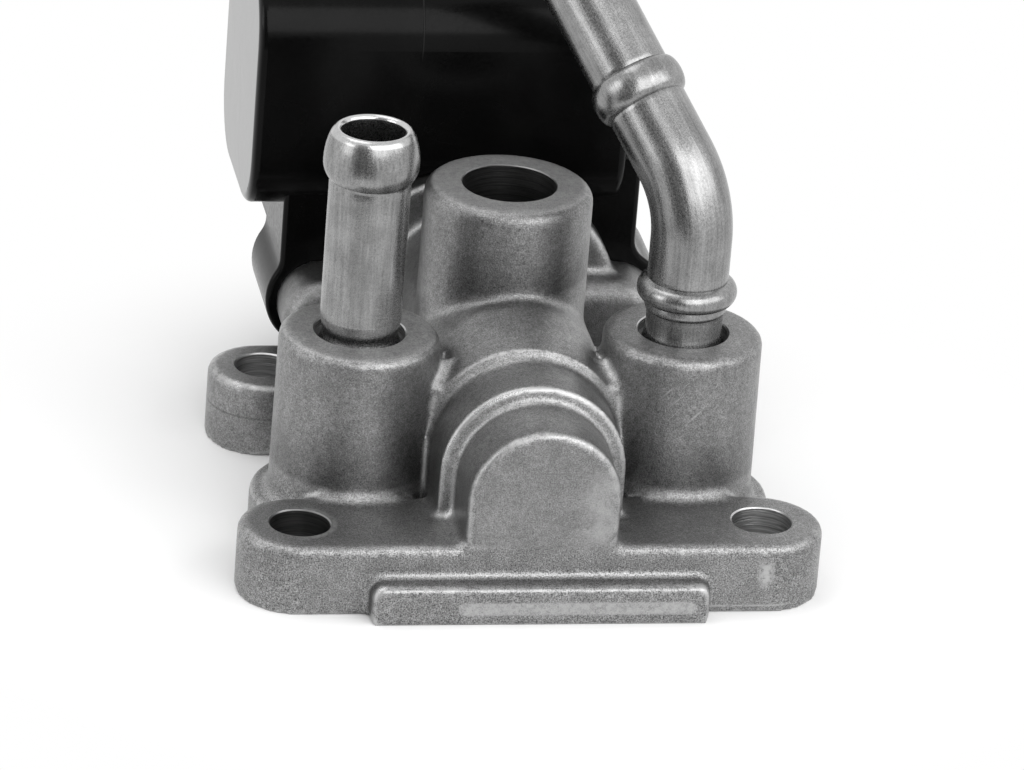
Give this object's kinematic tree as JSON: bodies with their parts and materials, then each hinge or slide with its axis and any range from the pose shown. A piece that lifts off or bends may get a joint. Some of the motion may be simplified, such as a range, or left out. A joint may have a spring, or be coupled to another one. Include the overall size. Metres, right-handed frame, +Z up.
{
  "type": "idle air control valve",
  "caption": "Coolant-heated rotary idle air control valve: a cast body with drilled ears, a top air port, a straight and a bent coolant pipe, and a moulded solenoid at the back.",
  "frame": {"origin": "midway between the two front mounting holes, on the mounting face", "axes": "+X along the front holes, +Y back towards the solenoid, +Z up from the mounting face"},
  "size_m": [0.067, 0.0988, 0.0731],
  "materials": {
    "cast_aluminium": "blasted die-cast satin",
    "pipe_steel": "plated, satin",
    "black_plastic": "glossy moulded black",
    "rubber": "matt black",
    "steel": "ground",
    "bronze": "sintered bronze",
    "brass": "bright",
    "magnet": "dark sintered",
    "core_steel": "stacked sheet steel",
    "copper_wire": "enamelled copper",
    "bobbin_plastic": "natural nylon",
    "rotor_plastic": "filled black plastic"
  },
  "bodies": {
    "body": {"valve_body": "cast_aluminium", "coolant_inlet_pipe": "pipe_steel", "coolant_outlet_pipe": "pipe_steel", "air_port_seal": "rubber", "coolant_seal": "rubber", "front_bush": "bronze", "thrust_washer": "steel", "shaft_seal": "rubber", "bearing_outer_ring": "steel", "bearing_balls": "steel", "rear_bush": "bronze", "core_stack": "core_steel", "coil_bobbin": "bobbin_plastic", "opening_winding": "copper_wire", "closing_winding": "copper_wire", "solenoid_housing": "black_plastic", "flange_o_ring": "rubber", "screw_sleeves": "steel", "screw_washers": "steel", "solenoid_screws": "steel", "terminal_pin_1": "brass", "terminal_pin_2": "brass", "terminal_pin_3": "brass"},
    "rotor": {"rotor_shaft": "steel", "valve_rotor": "rotor_plastic", "rotor_pin": "steel", "bearing_inner_ring": "steel", "retaining_ring": "steel", "magnet_hub": "rotor_plastic", "rotor_magnet": "magnet"}
  },
  "joints": [
    {"name": "valve_turn", "type": "hinge", "parent": "body", "child": "rotor", "pos_m": [0, 0.031, 0.0135], "axis": [0, 1, 0], "range_deg": [-40, 40], "stiffness_Nm_per_rad": 0.01}
  ]
}
